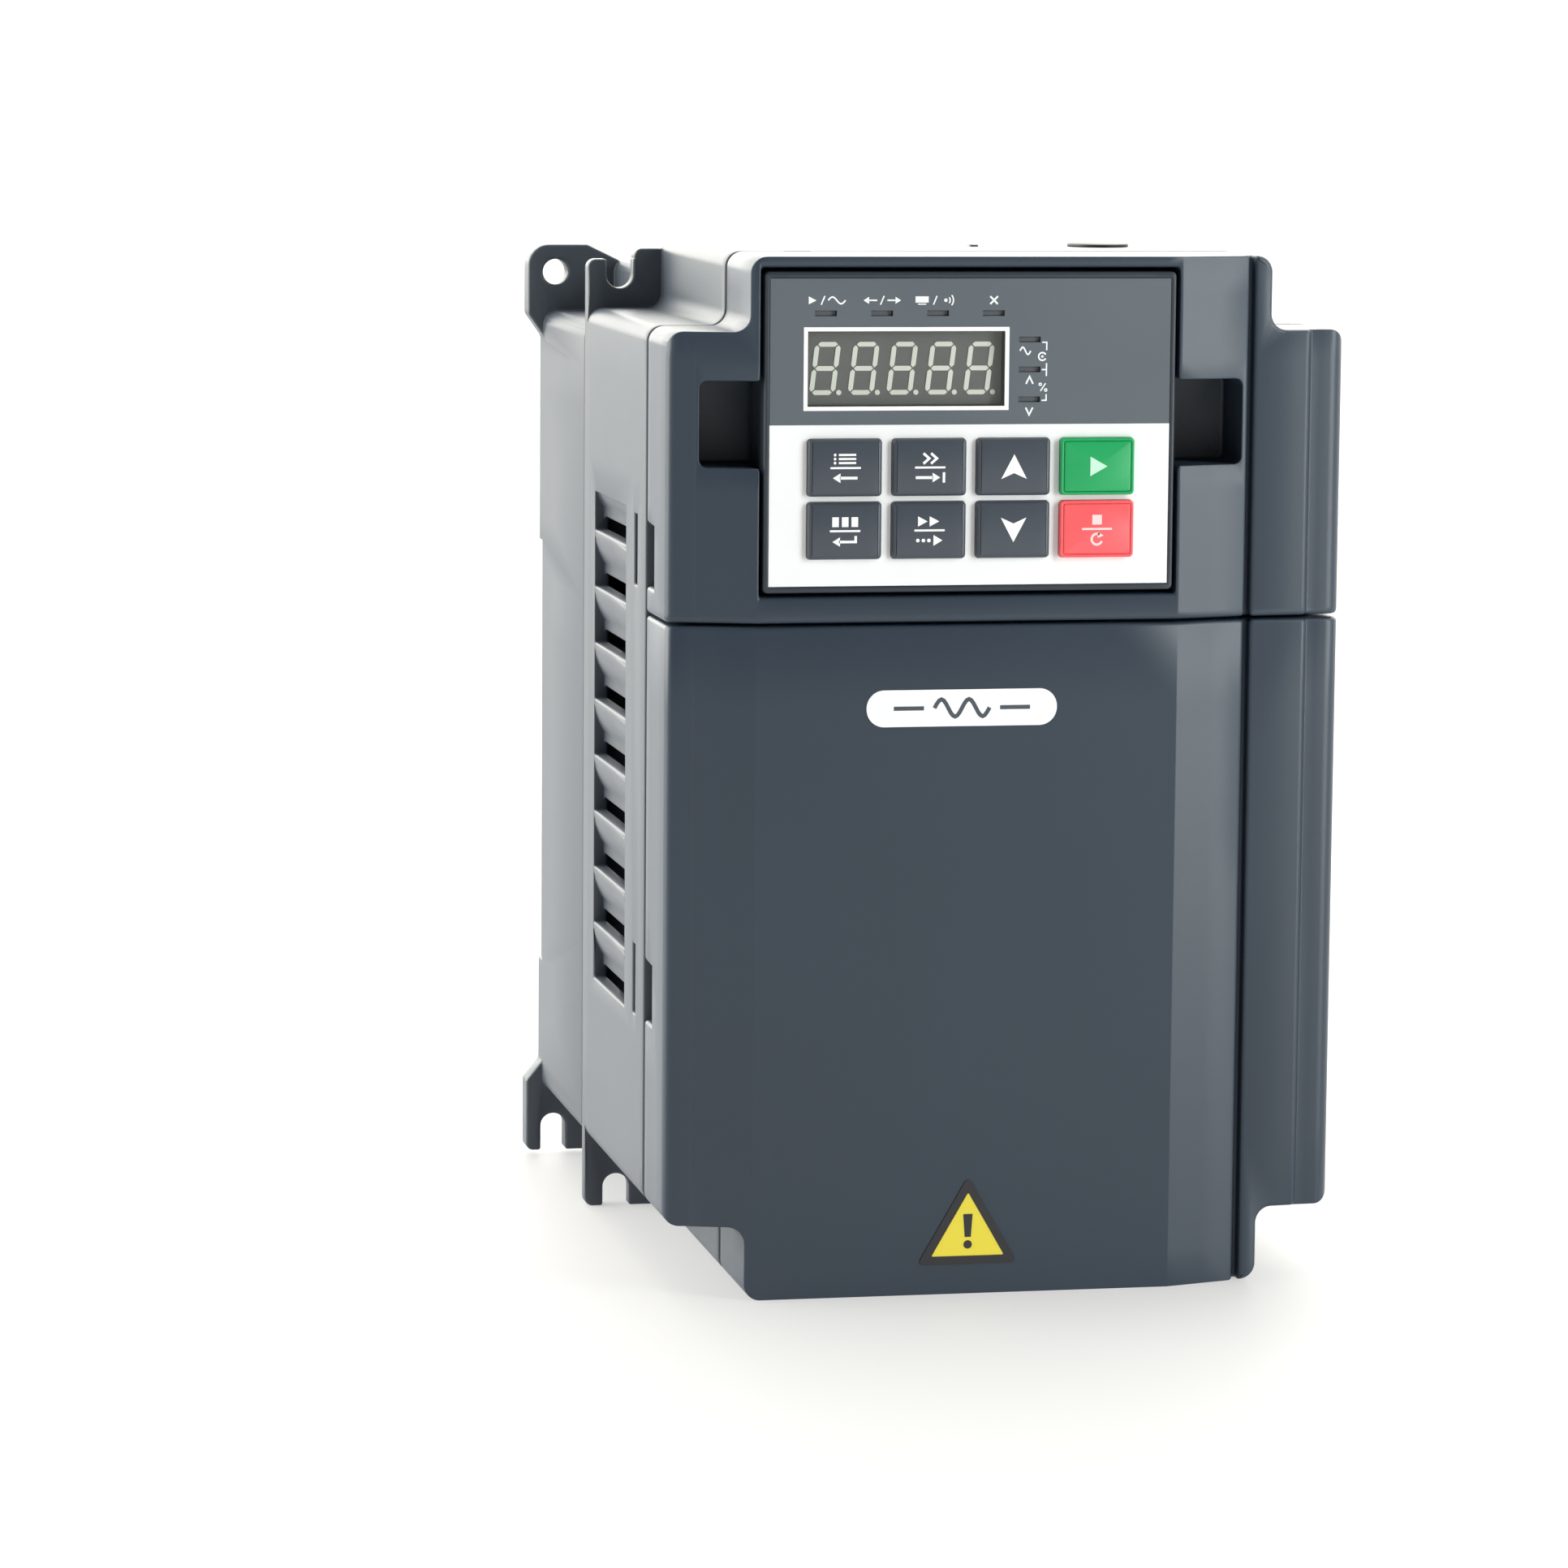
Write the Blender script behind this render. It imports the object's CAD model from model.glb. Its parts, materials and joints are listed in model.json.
"""Looks of a wall-mounted variable frequency drive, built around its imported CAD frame."""

import json
import math

import bmesh
import bpy
import numpy
from mathutils import Matrix, Vector


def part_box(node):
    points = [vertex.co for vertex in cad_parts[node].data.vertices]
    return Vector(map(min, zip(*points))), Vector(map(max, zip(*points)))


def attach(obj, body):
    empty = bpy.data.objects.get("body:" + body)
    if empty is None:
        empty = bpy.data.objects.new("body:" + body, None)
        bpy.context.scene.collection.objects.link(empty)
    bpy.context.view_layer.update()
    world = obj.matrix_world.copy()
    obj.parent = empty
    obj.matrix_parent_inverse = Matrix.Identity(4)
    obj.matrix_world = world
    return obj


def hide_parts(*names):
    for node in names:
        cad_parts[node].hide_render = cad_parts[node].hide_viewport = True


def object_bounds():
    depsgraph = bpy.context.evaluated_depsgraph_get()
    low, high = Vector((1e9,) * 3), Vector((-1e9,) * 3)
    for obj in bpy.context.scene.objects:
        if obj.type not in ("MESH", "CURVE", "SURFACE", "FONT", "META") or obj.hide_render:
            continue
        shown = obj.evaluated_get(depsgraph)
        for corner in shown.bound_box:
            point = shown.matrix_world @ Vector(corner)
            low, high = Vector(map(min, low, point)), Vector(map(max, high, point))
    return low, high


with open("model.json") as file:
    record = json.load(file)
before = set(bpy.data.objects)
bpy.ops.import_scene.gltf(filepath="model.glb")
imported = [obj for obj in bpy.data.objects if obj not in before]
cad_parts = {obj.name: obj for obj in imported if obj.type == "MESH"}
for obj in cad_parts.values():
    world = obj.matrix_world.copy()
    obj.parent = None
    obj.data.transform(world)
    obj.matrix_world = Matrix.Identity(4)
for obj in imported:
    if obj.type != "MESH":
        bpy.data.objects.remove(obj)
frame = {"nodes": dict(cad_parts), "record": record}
cad_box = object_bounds()
nodes = frame["nodes"]
MM = 0.001


# ------------------------------------------------------------- node trees


class Graph:
    """A material's node tree, with short calls for the nodes used here."""

    def __init__(self, name):
        self.material = bpy.data.materials.new(name)
        self.material.use_nodes = True
        self.tree = self.material.node_tree
        self.tree.nodes.clear()
        self.output = self.tree.nodes.new("ShaderNodeOutputMaterial")
        self.place = self.tree.nodes.new("ShaderNodeTexCoord").outputs["Object"]

    def put(self, value, socket):
        """Links an output to a socket, or sets the socket's value."""
        if isinstance(value, bpy.types.NodeSocket):
            self.tree.links.new(value, socket)
        else:
            socket.default_value = value

    def node(self, kind, settings=None, **inputs):
        made = self.tree.nodes.new("ShaderNode" + kind)
        for key, value in (settings or {}).items():
            setattr(made, key, value)
        for key, value in inputs.items():
            self.put(value, made.inputs[key.replace("_", " ")])
        return made

    def noise(self, scale, detail=2.0, roughness=0.5, place=None):
        made = self.node(
            "TexNoise", Scale=scale, Detail=detail, Roughness=roughness, Vector=place or self.place
        )
        return made.outputs["Fac"]

    def math(self, operation, a, b=0.0):
        made = self.node("Math", {"operation": operation})
        self.put(a, made.inputs[0])
        self.put(b, made.inputs[1])
        return made.outputs[0]

    def remap(self, value, low, high, to_low, to_high):
        made = self.node("MapRange", Value=value)
        for key, number in (
            ("From Min", low), ("From Max", high), ("To Min", to_low), ("To Max", to_high)
        ):
            self.put(number, made.inputs[key])
        return made.outputs[0]

    def mix(self, factor, a, b):
        made = self.node("Mix", {"data_type": "RGBA"})
        self.put(factor, made.inputs["Factor"])
        self.put(a, made.inputs["A"])
        self.put(b, made.inputs["B"])
        return made.outputs["Result"]

    def stretched(self, x, y, z):
        made = self.node("Mapping", Vector=self.place)
        made.inputs["Scale"].default_value = (x, y, z)
        return made.outputs["Vector"]

    def bump(self, height, distance, strength=1.0, normal=None):
        made = self.node("Bump", Height=height, Distance=distance, Strength=strength)
        if normal is not None:
            self.put(normal, made.inputs["Normal"])
        return made.outputs["Normal"]

    def edges(self, radius):
        """1 along sharp edges and 0 on flats, and the rounded normal that tells them apart."""
        soft = self.node("Bevel", {"samples": 4}, Radius=radius).outputs["Normal"]
        hard = self.node("NewGeometry").outputs["Normal"]
        alike = self.node("VectorMath", {"operation": "DOT_PRODUCT"})
        self.put(soft, alike.inputs[0])
        self.put(hard, alike.inputs[1])
        return self.remap(alike.outputs["Value"], 0.995, 0.85, 0.0, 1.0), soft

    def finish(self, **inputs):
        surface = self.node("BsdfPrincipled", **inputs)
        self.tree.links.new(surface.outputs[0], self.output.inputs["Surface"])
        return self.material


def srgb(r, g, b):
    """Linear colour of an 8-bit display colour."""
    def linear(v):
        v /= 255
        return v / 12.92 if v <= 0.04045 else ((v + 0.055) / 1.055) ** 2.4

    return (linear(r), linear(g), linear(b), 1.0)


def shade(colour, factor):
    return tuple(min(1.0, c * factor) for c in colour[:3]) + (1.0,)


# -------------------------------------------------------------- materials


def moulded(name, colour, rough=0.5, grain=0.012, wear=0.35, size=2400.0, specular=0.5):
    """Injection-moulded plastic: spark-eroded grain, faint flow marks, rubbed edges."""
    g = Graph(name)
    clouds = g.noise(9.0, 3.0)
    flow = g.noise(3.0, 2.0, place=g.stretched(40, 40, 6))
    pits = g.noise(size, 3.0, 0.6)
    edge, soft = g.edges(0.35 * MM)
    rubbed = g.math("MULTIPLY", edge, g.remap(g.noise(160.0, 4.0), 0.35, 0.65, 0.2, 1.0))
    tone = g.mix(g.remap(clouds, 0.3, 0.7, 0.0, 1.0), shade(colour, 0.95), shade(colour, 1.06))
    tone = g.mix(g.math("MULTIPLY", flow, 0.12), tone, shade(colour, 1.25))
    tone = g.mix(g.math("MULTIPLY", pits, 0.18), tone, shade(colour, 0.72))
    tone = g.mix(g.math("MULTIPLY", rubbed, wear), tone, shade(colour, 2.0))
    gloss = g.remap(clouds, 0.3, 0.7, rough - 0.035, rough + 0.035)
    gloss = g.math("SUBTRACT", gloss, g.math("MULTIPLY", rubbed, 0.08))
    return g.finish(
        Base_Color=tone, Roughness=gloss, Normal=g.bump(pits, grain * MM, 1.0, soft),
        Specular_IOR_Level=specular,
    )


def printed(name, colour, rough=0.42, grain=0.004):
    """Printed film or ink: even colour with a fine screen texture."""
    g = Graph(name)
    tooth = g.noise(5200.0, 2.0)
    cloud = g.noise(30.0, 3.0)
    tone = g.mix(g.remap(cloud, 0.3, 0.7, 0.0, 1.0), shade(colour, 0.97), shade(colour, 1.03))
    return g.finish(
        Base_Color=tone, Roughness=g.remap(cloud, 0.3, 0.7, rough - 0.04, rough + 0.04),
        Normal=g.bump(tooth, grain * MM),
    )


def metal(name, colour, rough=0.3, along=(1, 1, 1), grain=0.01):
    """Bare or plated metal: drawn grain along one axis and dull patches."""
    g = Graph(name)
    drawn = g.noise(900.0, 4.0, 0.6, g.stretched(*along))
    patches = g.noise(120.0, 3.0)
    tone = g.mix(patches, shade(colour, 0.82), shade(colour, 1.08))
    edge, soft = g.edges(0.25 * MM)
    return g.finish(
        Base_Color=g.mix(g.math("MULTIPLY", edge, 0.4), tone, shade(colour, 1.3)), Metallic=1.0,
        Roughness=g.remap(patches, 0.3, 0.7, rough - 0.06, rough + 0.1),
        Normal=g.bump(drawn, grain * MM, 0.7, soft),
    )


def circuit(name):
    """Green solder mask over copper tracks, with tinned pads."""
    g = Graph(name)
    square_cells = {"feature": "F1", "distance": "CHEBYCHEV"}
    cells = g.node("TexVoronoi", square_cells, Vector=g.place, Scale=210.0)
    pads = g.node("TexVoronoi", {"feature": "F1"}, Vector=g.place, Scale=260.0, Randomness=0.35)
    track = g.remap(cells.outputs["Distance"], 0.30, 0.34, 0.0, 1.0)
    mask = g.mix(g.math("MULTIPLY", track, 0.6), srgb(18, 78, 44), srgb(36, 112, 62))
    pad = g.remap(pads.outputs["Distance"], 0.17, 0.15, 0.0, 1.0)
    return g.finish(
        Base_Color=g.mix(pad, mask, srgb(190, 192, 186)), Metallic=g.math("MULTIPLY", pad, 0.9),
        Roughness=g.remap(g.noise(60.0), 0.3, 0.7, 0.25, 0.4),
        Normal=g.bump(g.math("ADD", track, pad), 0.03 * MM),
    )


def smoked(name):
    """Thin smoked pane: tinted see-through with a soft reflection at low angles."""
    g = Graph(name)
    clear = g.node("BsdfTransparent", Color=(0.98, 0.985, 0.98, 1.0)).outputs[0]
    haze = g.remap(g.noise(25.0, 3.0), 0.3, 0.7, 0.16, 0.26)
    shine = g.node("BsdfGlossy", Color=(1.0, 1.0, 1.0, 1.0), Roughness=haze).outputs[0]
    veil = g.node("BsdfDiffuse", Color=srgb(120, 124, 122)).outputs[0]
    dull = g.node("MixShader", Fac=0.04)
    g.put(clear, dull.inputs[1])
    g.put(veil, dull.inputs[2])
    outside = g.math("SUBTRACT", 1.0, g.node("NewGeometry").outputs["Backfacing"])
    facing = g.node("Fresnel", IOR=1.45).outputs[0]
    made = g.node("MixShader", Fac=g.math("MULTIPLY", facing, outside))
    g.put(dull.outputs[0], made.inputs[1])
    g.put(shine, made.inputs[2])
    g.tree.links.new(made.outputs[0], g.output.inputs["Surface"])
    return g.material


SLATE = srgb(44, 56, 70)
FINISH = {
    "housing_plastic": moulded("housing_plastic", srgb(60, 68, 78), 0.42),
    "cover_plastic": moulded("cover_plastic", SLATE, 0.38),
    "keypad_plastic": moulded("keypad_plastic", srgb(38, 47, 57), 0.42),
    "key_plastic": moulded("key_plastic", srgb(64, 71, 81), 0.38, 0.008, size=3600.0),
    "inner_plastic": moulded("inner_plastic", srgb(48, 51, 56), 0.55, 0.02),
    "film_grey": printed("film_grey", srgb(88, 96, 104), 0.45),
    "film_white": printed("film_white", srgb(244, 245, 247), 0.4),
    "display_white": printed("display_white", srgb(246, 246, 248), 0.35),
    "smoked_window": smoked("smoked_window"),
    "display_body": moulded("display_body", srgb(96, 98, 97), 0.4, 0.004, 0.2),
    "segment": printed("segment", srgb(230, 233, 224), 0.4),
    "status_led": moulded("status_led", srgb(96, 99, 104), 0.35, 0.006),
    "green_face": moulded("green_face", srgb(8, 160, 90), 0.4, 0.006, 0.15, 3600.0),
    "red_face": moulded("red_face", srgb(244, 92, 98), 0.4, 0.006, 0.15, 3600.0),
    "label_yellow": printed("label_yellow", srgb(240, 221, 66), 0.4),
    "badge_white": printed("badge_white", srgb(246, 247, 249), 0.4),
    "circuit_board": circuit("circuit_board"),
    "component_black": moulded("component_black", srgb(34, 35, 38), 0.5, 0.02, 0.25, 3000.0),
    "component_light": moulded("component_light", srgb(212, 212, 204), 0.45, 0.01, 0.1),
    "terminal_green": moulded("terminal_green", srgb(36, 128, 76), 0.45, 0.01, 0.25),
    "capacitor_sleeve": moulded("capacitor_sleeve", srgb(24, 26, 36), 0.28, 0.006, 0.3),
    "copper_winding": metal("copper_winding", srgb(196, 116, 62), 0.28, (1, 1, 8)),
    "steel": metal("steel", srgb(198, 200, 204), 0.3, (1, 6, 1)),
    "brass": metal("brass", srgb(214, 180, 100), 0.28, (1, 8, 1)),
    "aluminium": metal("aluminium", srgb(205, 208, 212), 0.36, (6, 6, 0.3), 0.02),
    "rubber": moulded("rubber", srgb(34, 35, 38), 0.5, 0.02, 0.1, 1800.0, 0.5),
    "cable_red": moulded("cable_red", srgb(160, 34, 30), 0.45, 0.008, 0.1),
    "cable_grey": moulded("cable_grey", srgb(150, 152, 156), 0.5, 0.008, 0.1),
    "fan_black": moulded("fan_black", srgb(30, 31, 34), 0.45, 0.015, 0.3),
    "ink_white": printed("ink_white", srgb(246, 247, 249), 0.4),
    "ink_mint": printed("ink_mint", srgb(196, 238, 214), 0.4),
    "ink_rose": printed("ink_rose", srgb(250, 214, 216), 0.4),
    "ink_dark": printed("ink_dark", srgb(40, 40, 44), 0.4),
    "ink_slate": printed("ink_slate", srgb(70, 76, 86), 0.4),
}


# ------------------------------------------------------- CAD nodes, dressed

SLOT_OF = {part["node"]: part["material_slot"] for part in frame["record"]["subparts"]}
BODY_OF = {
    node: body
    for body, members in frame["record"]["behaviour"]["bodies"].items()
    for node in members
}

# Moulded pieces that get rounded edges: the widest round of each, in millimetres
MOULDED = {
    "upper_cover": 0.8,
    "terminal_cover": 0.8,
    "middle_housing": 0.45,
    "rear_base": 0.5,
    "keypad_frame": 0.4,
    "keypad_back": 0.4,
    "fan_guard": 0.35,
    "fan_frame": 0.3,
    "top_plug": 0.4,
    "power_module": 0.5,
    "rectifier_bridge": 0.5,
    "relays": 0.5,
    "current_sensors": 0.5,
    "power_terminal_block": 0.3,
    "control_deck": 0.4,
    "keypad_socket": 0.3,
    "cable_grommets": 0.5,
}
for key in ("program", "shift", "up", "enter", "jog", "down"):
    MOULDED["key_" + key] = 0.9
for key in ("run", "stop"):
    MOULDED["key_" + key] = 0.45
    MOULDED["key_" + key + "_face"] = 0.3

SHARP = math.radians(34)
CREASE = math.radians(11)
FLAT = math.radians(1)
WIDE = 4 * MM
PLUG_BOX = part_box("top_plug")


def gaps_between(values, least, step):
    """Places, in millimetres, that split each gap wider than least into parts up to step long."""
    values = sorted(set(round(v / MM, 2) for v in values))
    for a, b in zip(values, values[1:]):
        parts = max(2, math.ceil((b - a) / step))
        if b - a > least:
            yield from (a + (b - a) * i / parts for i in range(1, parts))


def rooms(bm, least):
    """Each edge bent more than least, with its distances to the next edge on both faces."""
    bent = [e for e in bm.edges if len(e.link_faces) != 2 or e.calc_face_angle(0.0) > FLAT]
    starts = numpy.array([e.verts[0].co[:] for e in bent])
    ends = numpy.array([e.verts[1].co[:] for e in bent])
    found = {}
    for row, edge in enumerate(bent):
        if len(edge.link_faces) != 2 or edge.calc_face_angle(0.0) <= least:
            continue
        found[edge] = []
        along = (ends[row] - starts[row]) / edge.calc_length()
        place = (starts[row] + ends[row]) / 2
        before, after = (starts - place) @ along, (ends - place) @ along
        crossed = before * after < 0
        crossed[row] = False
        part = before / numpy.where(before == after, 1.0, before - after)
        gap = starts + (ends - starts) * part[:, None] - place
        length = numpy.linalg.norm(gap, axis=1)
        for loop in edge.link_loops:
            way = (loop.link_loop_next.vert.co - loop.vert.co).normalized()
            inward = numpy.array(loop.face.normal.cross(way))
            ahead = crossed & (gap @ inward > 0.94 * length) & (length > 0.05 * MM)
            found[edge].append(length[ahead].min() if ahead.any() else 1.0)
    return found


def chains(edges):
    """Groups of edges that run on into each other at slight angles."""
    left = set(edges)
    while left:
        group, ends = [], [left.pop()]
        while ends:
            edge = ends.pop()
            group.append(edge)
            for corner in edge.verts:
                out = edge.other_vert(corner).co - corner.co
                for other in corner.link_edges:
                    turn = math.pi - out.angle(other.other_vert(corner).co - corner.co)
                    if other in left and math.radians(0.2) < turn < SHARP * 1.4:
                        left.remove(other)
                        ends.append(other)
        yield group


def covered(edge, box):
    """Whether the middle of an edge lies inside the box of a node that hides it."""
    low, high = box
    middle = (edge.verts[0].co + edge.verts[1].co) / 2
    return all(low[i] < middle[i] < high[i] for i in range(3))


def moulded_copy(name, width, slot):
    """A copy of a CAD node with whole faces, a regular grid of cuts and rounded edges."""
    mesh = bpy.data.meshes.new(name + "_moulded")
    bm = bmesh.new()
    bm.from_mesh(nodes[name].data)
    bmesh.ops.remove_doubles(bm, verts=bm.verts, dist=0.002 * MM)
    bmesh.ops.dissolve_limit(bm, angle_limit=math.radians(0.3), verts=bm.verts, edges=bm.edges)
    share = bm.edges.layers.float.new("bevel_weight_edge")
    room = rooms(bm, CREASE)
    hidden = {edge for edge in room if covered(edge, PLUG_BOX)}
    sharp = [edge for edge in room if edge.calc_face_angle() > SHARP and edge not in hidden]
    for edge in room:
        soft = edge.calc_face_angle() > SHARP or max(room[edge]) < WIDE
        edge.smooth = bool(soft and edge not in hidden)
    for group in chains(sharp):
        least = min(min(room[edge]) for edge in group)
        for edge in group:
            edge[share] = min(1.0, max(0.2, 0.42 * least / (width * MM)))
    for axis in range(3):
        normal = Vector([float(i == axis) for i in range(3)])
        for place in list(gaps_between([v.co[axis] for v in bm.verts], 3.0, 16.0)):
            bmesh.ops.bisect_plane(
                bm, geom=bm.verts[:] + bm.edges[:] + bm.faces[:], dist=0.001 * MM,
                plane_co=normal * place * MM, plane_no=normal,
            )
    for face in bm.faces:
        face.smooth = True
    bm.to_mesh(mesh)
    bm.free()
    piece = bpy.data.objects.new(name + "_moulded", mesh)
    bpy.context.scene.collection.objects.link(piece)
    bevel = piece.modifiers.new("round", "BEVEL")
    bevel.width = width * MM
    bevel.segments = 3
    bevel.limit_method = "WEIGHT"
    bevel.use_clamp_overlap = False
    bevel.harden_normals = True
    mesh.materials.append(FINISH[slot])
    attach(piece, BODY_OF[name])
    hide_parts(name)


def dress():
    for name, obj in nodes.items():
        obj.data.materials.clear()
        obj.data.materials.append(FINISH[SLOT_OF[name]])
    for name, width in MOULDED.items():
        moulded_copy(name, width, SLOT_OF.get(name + "_face", SLOT_OF[name]))


dress()


# ------------------------------------------------------------- printed marks


class Ink:
    """Flat printed shapes on a face that looks towards -Y, in millimetres of X and Z."""

    def __init__(self, x=0.0, z=0.0):
        self.bm = bmesh.new()
        self.x, self.z = x, z

    def corners(self, points):
        """One mesh corner at each point."""
        return [self.bm.verts.new(((self.x + x) * MM, 0, (self.z + z) * MM)) for x, z in points]

    def shape(self, points):
        """One filled outline."""
        self.bm.faces.new(self.corners(points))

    def box(self, x, z, w, h):
        left, right, low, high = x - w / 2, x + w / 2, z - h / 2, z + h / 2
        self.shape([(left, low), (right, low), (right, high), (left, high)])

    def dot(self, x, z, r):
        self.shape([(x + r * math.cos(a), z + r * math.sin(a)) for a in turns(24)])

    def loop(self, outer, inner):
        """A closed band between two outlines with the same number of points."""
        rows = [self.corners(ring) for ring in (outer, inner)]
        for i in range(len(outer)):
            j = (i + 1) % len(outer)
            self.bm.faces.new((rows[0][i], rows[0][j], rows[1][j], rows[1][i]))

    def ring(self, x, z, r, line):
        self.loop(*[
            [(x + q * math.cos(a), z + q * math.sin(a)) for a in turns(32)]
            for q in (r + line / 2, r - line / 2)
        ])

    def line(self, points, width):
        """A line of even width through points, with mitred corners."""
        points = [Vector(p) for p in points]
        sides = []
        for i, point in enumerate(points):
            before = (point - points[i - 1]).normalized() if i else None
            after = (points[i + 1] - point).normalized() if i + 1 < len(points) else None
            along = ((before or after) + (after or before)).normalized()
            across = Vector((-along.y, along.x))
            offset = across * width / 2 / max(0.4, along.dot(after or before))
            sides.append((point + offset, point - offset))
        rows = [self.corners(pair) for pair in sides]
        for a, b in zip(rows, rows[1:]):
            self.bm.faces.new((a[0], a[1], b[1], b[0]))

    def arc(self, x, z, r, start, end, width, steps=16):
        angles = [math.radians(start + (end - start) * i / steps) for i in range(steps + 1)]
        self.line([(x + r * math.cos(a), z + r * math.sin(a)) for a in angles], width)

    def wave(self, x, z, length, height, width, cycles=1.0):
        steps = 24
        rate = 2 * math.pi * cycles / steps
        self.line([
            (x + length * (i / steps - 0.5), z + height / 2 * math.sin(rate * i))
            for i in range(steps + 1)
        ], width)

    def lay(self, name, body, front, slot, ink, thick=0.04, sunk=0.01):
        """Gives the shapes their thickness at the plane Y = front and rides them on a body."""
        for v in self.bm.verts:
            v.co.y = front + sunk * MM
        made = bmesh.ops.extrude_face_region(self.bm, geom=self.bm.faces[:])
        for v in made["geom"]:
            if isinstance(v, bmesh.types.BMVert):
                v.co.y = front - thick * MM
        bmesh.ops.recalc_face_normals(self.bm, faces=self.bm.faces)
        mesh = bpy.data.meshes.new(name)
        self.bm.to_mesh(mesh)
        self.bm.free()
        mesh.materials.append(FINISH[ink])
        piece = bpy.data.objects.new(name, mesh)
        bpy.context.scene.collection.objects.link(piece)
        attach(piece, body)
        return piece


def turns(count):
    return [2 * math.pi * i / count for i in range(count)]


def centre(name):
    """Centre of a node's front face in X and Z, in millimetres, and the Y of that face."""
    low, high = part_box(name)
    middle = (low + high) / 2 / MM
    return middle.x, middle.z, low.y


def arrow(ink, x, z, length, turn=0, line=0.55, head=1.5):
    """A straight arrow that points to the right, turned by a multiple of 180 degrees."""
    way = -1 if turn else 1
    ink.box(x - way * head * 0.4, z, length - head, line)
    tip, back, half = x + way * length / 2, x + way * (length / 2 - head), head * 0.62
    ink.shape([(tip, z), (back, z + half), (back, z - half)][::way])


def key_mark_program(ink):
    for i in (-1, 0, 1):
        ink.box(0.35, 1.75 + i * 0.78, 3.4, 0.42)
        ink.dot(-2.1, 1.75 + i * 0.78, 0.27)
    arrow(ink, 0, -1.95, 5.0, 180)


def key_mark_shift(ink):
    for x in (-0.85, 0.65):
        ink.line([(x - 0.5, 2.75), (x + 0.65, 1.75), (x - 0.5, 0.75)], 0.5)
    arrow(ink, -0.5, -1.95, 5.0)
    ink.box(2.75, -1.95, 0.5, 2.0)


def notched_arrow(ink, way):
    ink.shape([(0, 2.45 * way), (-2.55, -2.35 * way), (0, -1.2 * way), (2.55, -2.35 * way)][::way])


def key_mark_up(ink):
    notched_arrow(ink, 1)


def key_mark_down(ink):
    notched_arrow(ink, -1)


def key_mark_run(ink):
    ink.shape([(-1.5, -1.9), (1.9, 0), (-1.5, 1.9)])


def key_mark_enter(ink):
    for i in (-1, 0, 1):
        ink.box(i * 1.9, 1.75, 1.3, 1.9)
    ink.line([(2.1, -0.95), (2.1, -2.1), (-1.2, -2.1)], 0.5)
    ink.shape([(-2.5, -2.1), (-1.0, -3.0), (-1.0, -1.2)])


def key_mark_jog(ink):
    for x in (-1.6, 0.7):
        ink.shape([(x - 0.7, 0.75), (x + 1.2, 1.75), (x - 0.7, 2.75)])
    for x in (-2.3, -1.2, -0.1):
        ink.dot(x, -1.95, 0.36)
    ink.shape([(0.8, -3.0), (2.6, -1.95), (0.8, -0.9)])


def key_mark_stop(ink):
    ink.box(0, 1.8, 1.9, 1.9)
    ink.arc(0, -2.0, 1.05, 60, 340, 0.45, 24)
    ink.shape([(0.2, -0.55), (1.35, -1.3), (0.15, -1.75)])


KEY_MARKS = {
    "program": key_mark_program,
    "shift": key_mark_shift,
    "up": key_mark_up,
    "run": key_mark_run,
    "enter": key_mark_enter,
    "jog": key_mark_jog,
    "down": key_mark_down,
    "stop": key_mark_stop,
}


def rounded_box(x, z, w, h, r, steps=6):
    """Outline of an upright rectangle with round corners."""
    points = []
    for i, (sx, sz) in enumerate(((1, 1), (-1, 1), (-1, -1), (1, -1))):
        hub_x, hub_z = x + sx * (w / 2 - r), z + sz * (h / 2 - r)
        for k in range(steps + 1):
            a = math.pi / 2 * (i + k / steps)
            points.append((hub_x + r * math.cos(a), hub_z + r * math.sin(a)))
    return points


def key_lips():
    """Rims of the white film that close the gap round each key."""
    skirt_w, skirt_h, play, rim = 0.9, 0.3, 0.07, 0.3
    ink = Ink()
    for key in KEY_MARKS:
        low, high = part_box("key_" + key)
        x, z, _ = centre("key_" + key)
        w, h = (high.x - low.x) / MM - skirt_w, (high.z - low.z) / MM - skirt_h
        ink.loop(
            rounded_box(x, z, w + 2 * rim, h + 2 * rim, 0.1),
            rounded_box(x, z, w + 2 * play, h + 2 * play, 0.85),
        )
    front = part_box("film_lower")[0].y
    ink.lay("key_lips", "keypad", front, "film_white", "film_white", thick=0.004, sunk=0.22)


def key_prints():
    for key, draw in KEY_MARKS.items():
        face = "key_" + key + ("_face" if key in ("run", "stop") else "")
        x, z, front = centre(face)
        ink = Ink(x, z)
        draw(ink)
        if key not in ("up", "run", "down"):
            ink.box(0, 0, 6.0, 0.4)
        tone = {"run": "ink_mint", "stop": "ink_rose"}.get(key, "ink_white")
        ink.lay("key_" + key + "_mark", "key_" + key, front, "display_white", tone)


def slash(ink, x):
    ink.line([(x - 0.35, -0.85), (x + 0.35, 0.85)], 0.26)


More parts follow.
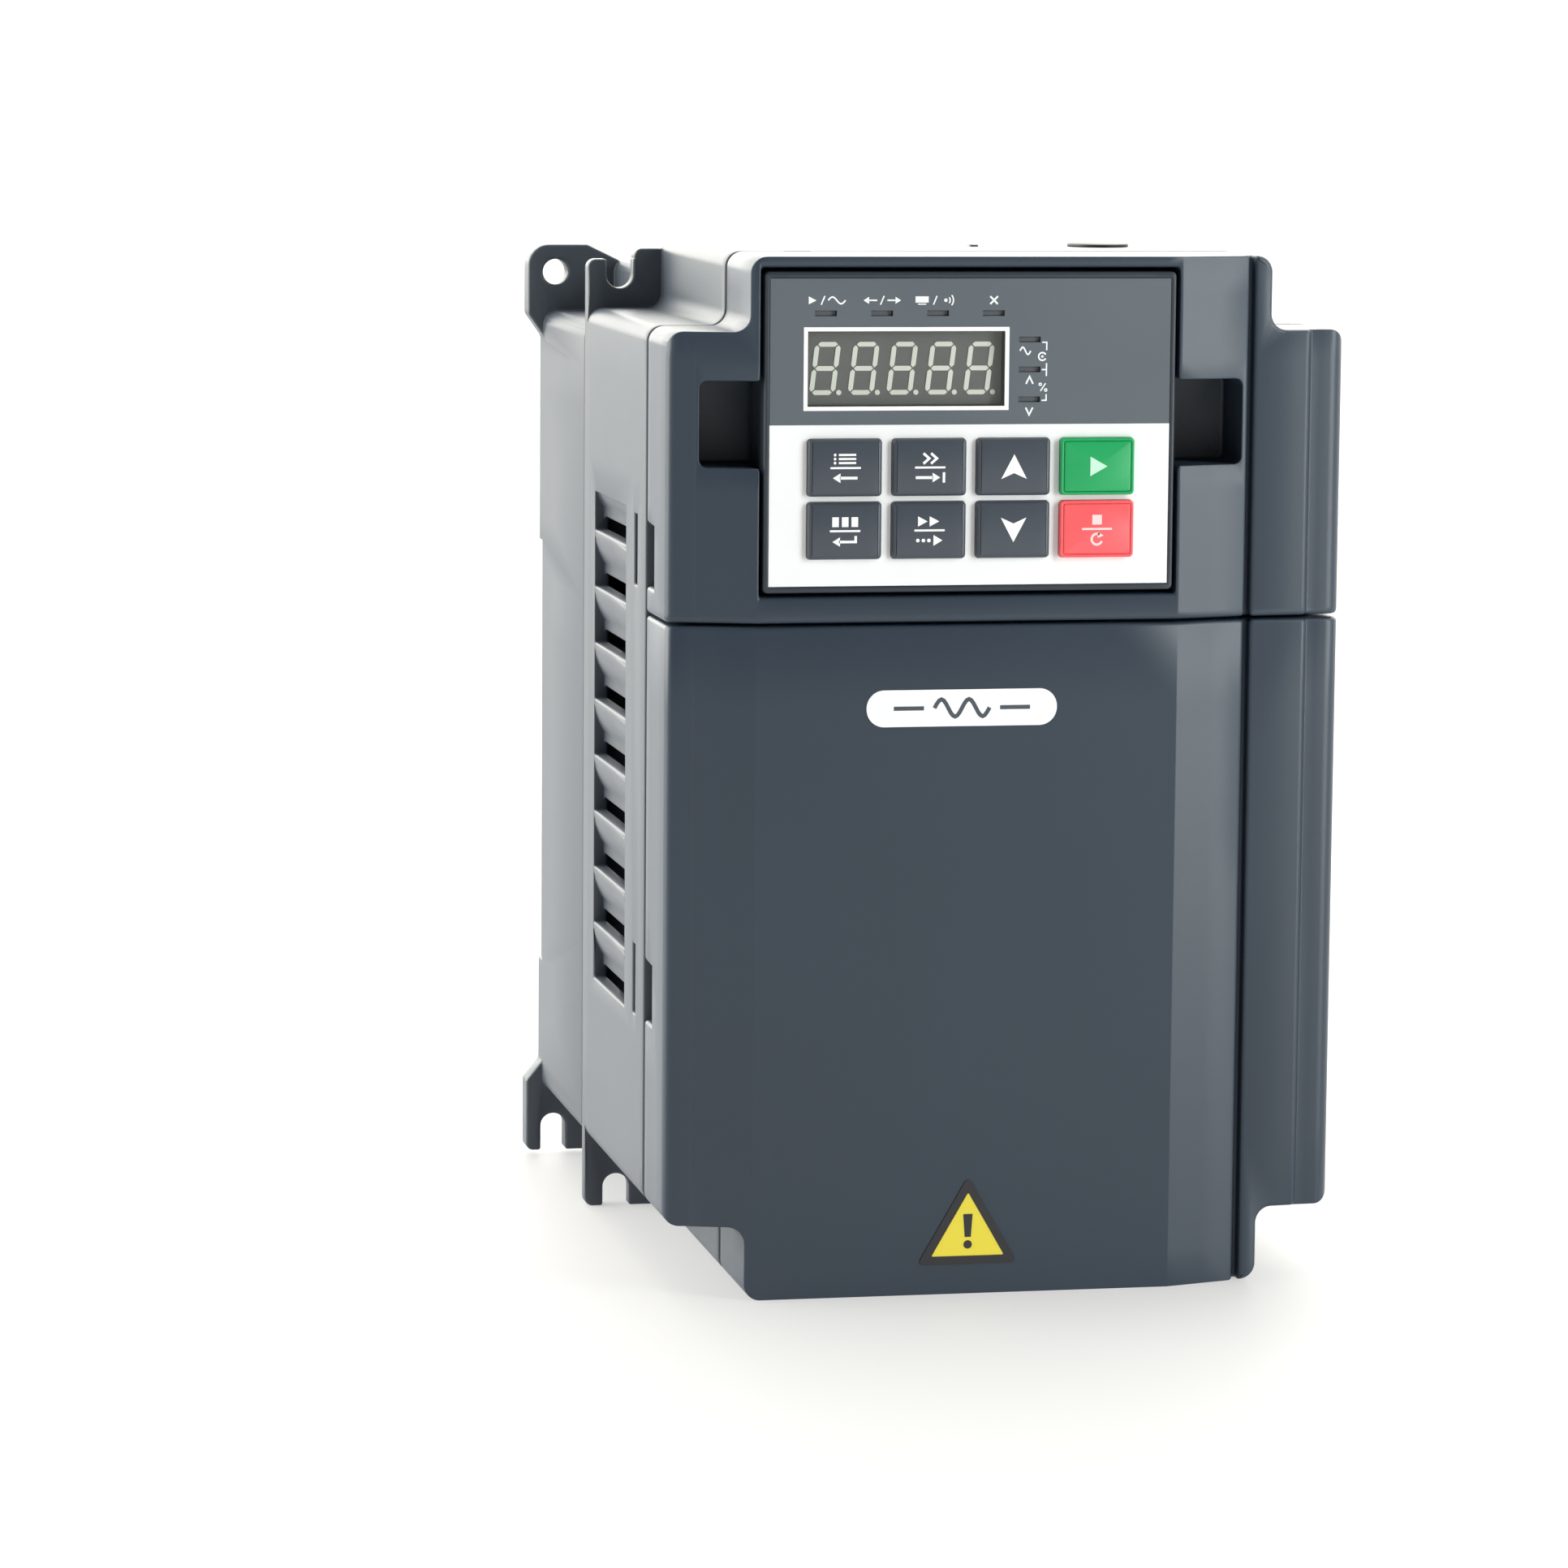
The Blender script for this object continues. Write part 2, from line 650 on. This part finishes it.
def lamp_prints():
    """Small signs over the four upper lamps and beside the three right ones."""
    window_x, window_z, _ = centre("display_window")
    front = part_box("film_upper")[0].y
    row = window_z + 13.2
    pitch = 11.05
    run, turn, place, trip = (Ink(window_x - 16 + i * pitch, row) for i in range(4))
    run.shape([(-3.4, -0.75), (-1.9, 0), (-3.4, 0.75)])
    slash(run, -0.6)
    run.wave(2.1, 0, 3.4, 1.3, 0.3)
    arrow(turn, 2.3, 0, 2.8, 0, 0.3, 1.1)
    slash(turn, 0)
    arrow(turn, -2.3, 0, 2.8, 180, 0.3, 1.1)
    place.box(-3.2, 0.15, 2.6, 1.2)
    place.box(-3.2, -0.75, 1.6, 0.22)
    slash(place, -0.6)
    place.dot(1.5, 0, 0.34)
    for r in (0.85, 1.5):
        place.arc(1.5, 0, r, -40, 40, 0.26, 8)
    trip.line([(-0.75, -0.75), (0.75, 0.75)], 0.36)
    trip.line([(-0.75, 0.75), (-0.1, 0.1)], 0.36)
    trip.line([(0.1, -0.1), (0.75, -0.75)], 0.36)
    for name, ink in (("run", run), ("turn", turn), ("place", place), ("trip", trip)):
        ink.lay("lamp_sign_" + name, "keypad", front, "display_white", "ink_white")
    units = Ink(window_x + 24.4, window_z)
    units.wave(-0.9, 3.4, 2.1, 1.4, 0.3)
    units.line([(-0.7, -3.0), (0, -1.6), (0.7, -3.0)], 0.32)
    units.line([(-0.7, -7.6), (0, -9.0), (0.7, -7.6)], 0.32)
    units.arc(2.5, 2.3, 0.75, 30, 330, 0.3, 16)
    units.dot(2.5, 2.3, 0.24)
    units.line([(2.2, -4.4), (3.2, -2.9)], 0.24)
    units.ring(2.15, -3.1, 0.24, 0.2)
    units.ring(3.25, -4.2, 0.24, 0.2)
    side = 3.35
    units.line([(side - 0.9, 5.05), (side, 5.05), (side, 3.5)], 0.26)
    units.line([(side, 1.0), (side, -1.5)], 0.26)
    units.box(side - 0.55, -0.25, 0.8, 0.26)
    units.line([(side, -5.0), (side, -6.2), (side - 0.9, -6.2)], 0.26)
    units.lay("unit_signs", "keypad", front, "display_white", "ink_white")


def rounded_triangle(low_x, high_x, low_z, high_z, inset, r, steps=6):
    """Outline of an upright triangle, moved inwards by inset, with round corners."""
    places = ((low_x, low_z), (high_x, low_z), ((low_x + high_x) / 2, high_z))
    corners = [Vector(place) for place in places]
    middle = sum(corners, Vector((0, 0))) / 3
    sides = [(b - a).normalized() for a, b in zip(corners, corners[1:] + corners[:1])]
    points = []
    for i, corner in enumerate(corners):
        before, after = sides[i - 1], sides[i]
        half = math.acos(max(-1.0, min(1.0, -before.dot(after)))) / 2
        inward = (after - before).normalized()
        hub = corner + inward * (inset + r) / math.sin(half)
        start = math.atan2(-before.x, before.y)
        turn = math.pi - 2 * half
        for k in range(steps + 1):
            a = start + turn * k / steps
            points.append((hub.x + r * math.cos(a), hub.y + r * math.sin(a)))
    return points


def label_prints():
    low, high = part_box("hazard_label")
    box = (low.x / MM, high.x / MM, low.z / MM, high.z / MM)
    ink = Ink()
    ink.loop(rounded_triangle(*box, -0.4, 0.8), rounded_triangle(*box, 1.25, 0.2))
    x, foot = (box[0] + box[1]) / 2, box[2]
    low_z, high_z, low_half, high_half = foot + 5.0, foot + 9.6, 0.62, 0.95
    ink.shape([
        (x - low_half, low_z), (x + low_half, low_z), (x + high_half, high_z), (x - high_half, high_z)
    ])
    ink.dot(x, foot + 3.5, 0.85)
    ink.lay("hazard_print", "terminal_cover", low.y, "label_yellow", "ink_dark")
    x, z, front = centre("name_badge")
    ink = Ink(x, z)
    ink.wave(0, 0, 11.0, 3.4, 0.8, 2.0)
    for side in (-1, 1):
        ink.box(side * 10.6, 0, 6.0, 0.8)
    ink.lay("badge_print", "terminal_cover", front, "badge_white", "ink_slate")


def board_parts():
    """Small soldered parts on the front of the control board, in rows between its chips."""
    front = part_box("control_board")[0].y
    places = [((i - 7.5) * 5.08, z) for i in range(16) for z in (-24.5, -20.5)]
    places += [(x, z) for x in (-24, -16, 24, 32, 40) for z in (-12, -6, 20, 26)]
    places += [(-46 + 4.2 * i, z) for i in range(7) for z in (34, 40)]
    black, light, solder, cans, tops = (Ink() for _ in range(5))
    for i, (x, z) in enumerate(places):
        (light if i % 3 == 1 else black).box(x, z, 1.3, 1.9)
        for end in (-1.2, 1.2):
            solder.box(x, z + end, 1.4, 0.6)
    for side in (-1, 1):
        for i in range(12):
            solder.box(16 + side * 7.7, 24.5 + i, 1.4, 0.45)
            solder.box(10.5 + i, 30 + side * 7.7, 0.45, 1.4)
    for x, z in ((-44, 52), (-34, 52), (-44, 20), (-2, 22), (44, 34), (44, 46)):
        cans.dot(x, z, 3.2)
        tops.box(x - 1.9, z, 1.2, 3.8)
        solder.box(x, z, 7.2, 7.2)
    for name, ink, tone, thick in (
        ("board_resistors", black, "component_black", 0.6),
        ("board_ceramics", light, "component_light", 0.9),
        ("board_solder", solder, "steel", 0.35), ("board_cans", cans, "aluminium", 7.0),
        ("board_can_stripes", tops, "component_black", 7.06),
    ):
        ink.lay(name, "root", front, tone, tone, thick)


key_lips()
key_prints()
lamp_prints()
label_prints()
board_parts()


# ---------------------------------------------------------------- the stage


def stage():
    low = cad_box[0]
    mesh = bpy.data.meshes.new("floor")
    reach = 30.0
    sides = ((-reach, -reach), (reach, -reach), (reach, reach), (-reach, reach))
    mesh.from_pydata([(x, y, low.z) for x, y in sides], [], [(0, 1, 2, 3)])
    floor = bpy.data.objects.new("floor", mesh)
    bpy.context.scene.collection.objects.link(floor)
    g = Graph("floor_white")
    tone = g.mix(g.noise(3.0, 2.0), (0.21, 0.21, 0.21, 1.0), (0.22, 0.22, 0.22, 1.0))
    mesh.materials.append(g.finish(
        Base_Color=tone, Roughness=0.6, Specular_IOR_Level=0.2,
        Emission_Color=(1.0, 1.0, 1.0, 1.0), Emission_Strength=0.51,
    ))


def area_light(name, place, target, width, height, power, colour=(1.0, 1.0, 1.0)):
    data = bpy.data.lights.new(name, "AREA")
    data.shape = "RECTANGLE"
    data.size = width
    data.size_y = height
    data.energy = power
    data.color = colour
    light = bpy.data.objects.new(name, data)
    bpy.context.scene.collection.objects.link(light)
    light.location = place
    light.rotation_euler = (Vector(target) - Vector(place)).to_track_quat("-Z", "Y").to_euler()
    light.visible_camera = False
    return light


WARM = (1.0, 0.975, 0.89)
COOL = (0.95, 1.0, 0.97)


def studio():
    """A bright sweep behind and beside the object, darker in front, and three soft lights."""
    world = bpy.data.worlds.new("studio")
    bpy.context.scene.world = world
    world.use_nodes = True
    tree = world.node_tree
    back = tree.nodes["Background"]
    place = tree.nodes.new("ShaderNodeTexCoord")
    split = tree.nodes.new("ShaderNodeSeparateXYZ")
    ramp = tree.nodes.new("ShaderNodeMapRange")
    tree.links.new(place.outputs["Generated"], split.inputs[0])
    tree.links.new(split.outputs["Y"], ramp.inputs["Value"])
    for key, value in (("From Min", -0.3), ("From Max", 0.85), ("To Min", 0.16), ("To Max", 4.7)):
        ramp.inputs[key].default_value = value
    tree.links.new(ramp.outputs[0], back.inputs["Strength"])
    back.inputs["Color"].default_value = (1.0, 0.975, 0.9, 1.0)
    middle = (0.0, -0.08, 0.0)
    area_light("left_softbox", (-1.3, 0.1, 0.5), middle, 1.0, 1.2, 28, WARM)
    area_light("top_softbox", (0.3, 0.5, 1.5), middle, 1.4, 1.4, 14)
    right_front = (0.045, -0.16, 0.1)
    area_light("right_softbox", (0.585, -0.68, 0.25), right_front, 0.27, 0.75, 6.2, COOL)


def camera():
    """Stands left of the front and a little above it, and looks down to the right."""
    yaw, pitch, roll = (math.radians(v) for v in (11.299, 7.293, 0.457))
    forward = Vector(
        (math.sin(yaw) * math.cos(pitch), math.cos(yaw) * math.cos(pitch), -math.sin(pitch))
    )
    side = Vector((math.cos(yaw), -math.sin(yaw), 0.0))
    above = side.cross(forward)
    right = side * math.cos(roll) + above * math.sin(roll)
    up = above * math.cos(roll) - side * math.sin(roll)
    data = bpy.data.cameras.new("camera")
    data.lens = 136.9
    data.sensor_width = 36.0
    data.clip_start = 0.05
    data.clip_end = 200.0
    made = bpy.data.objects.new("camera", data)
    bpy.context.scene.collection.objects.link(made)
    turn = Matrix((right, up, -forward)).transposed().to_4x4()
    made.matrix_world = Matrix.Translation((-0.27008, -1.28694, 0.14683)) @ turn
    bpy.context.scene.camera = made


stage()
studio()
camera()
bpy.context.scene.view_settings.view_transform = "Standard"
bpy.context.scene.view_settings.look = "None"
